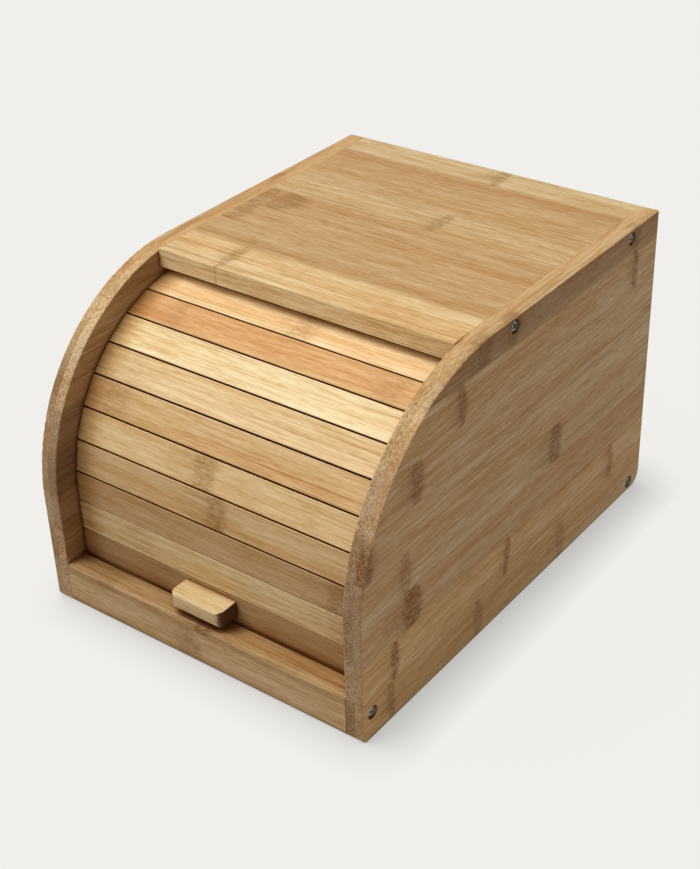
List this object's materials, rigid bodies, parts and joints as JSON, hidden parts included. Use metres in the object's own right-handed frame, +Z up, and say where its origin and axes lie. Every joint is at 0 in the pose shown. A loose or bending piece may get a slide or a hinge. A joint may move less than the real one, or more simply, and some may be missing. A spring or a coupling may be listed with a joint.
{
  "type": "roll-top bread box",
  "caption": "Laminated bamboo bread box with quarter-round sides, a low front rail and a slatted roll-top curtain that turns back under the top.",
  "frame": {"origin": "middle of the footprint, on the surface that the box stands on", "axes": "+Z up; the curtain side faces -Y; +X is to the right for someone looking at the curtain"},
  "size_m": [0.24, 0.32, 0.202],
  "materials": {
    "side_bamboo": "satin laminated bamboo, edge grain with dark node marks",
    "panel_bamboo": "satin laminated bamboo strips",
    "rail_bamboo": "satin bamboo",
    "slat_bamboo": "satin bamboo, each slat from its own strip",
    "pull_bamboo": "satin bamboo",
    "canvas": "plain woven cotton, glued",
    "screw_steel": "zinc plated steel"
  },
  "bodies": {
    "case": {"side_panel_left": "side_bamboo", "side_panel_right": "side_bamboo", "top_panel": "panel_bamboo", "bottom_panel": "panel_bamboo", "back_panel": "panel_bamboo", "front_rail": "rail_bamboo", "rail_screws": "screw_steel", "top_screws": "screw_steel", "bottom_screws": "screw_steel"},
    "curtain": {"slat_01": "slat_bamboo", "slat_02": "slat_bamboo", "slat_03": "slat_bamboo", "slat_04": "slat_bamboo", "slat_05": "slat_bamboo", "slat_06": "slat_bamboo", "slat_07": "slat_bamboo", "slat_08": "slat_bamboo", "slat_09": "slat_bamboo", "slat_10": "slat_bamboo", "canvas_backing": "canvas", "pull": "pull_bamboo"}
  },
  "joints": [
    {"name": "curtain_roll", "type": "hinge", "parent": "case", "child": "curtain", "pos_m": [0, -0.03136, 0.07112], "axis": [-1, 0, 0], "range_deg": [0, 91.5]}
  ]
}
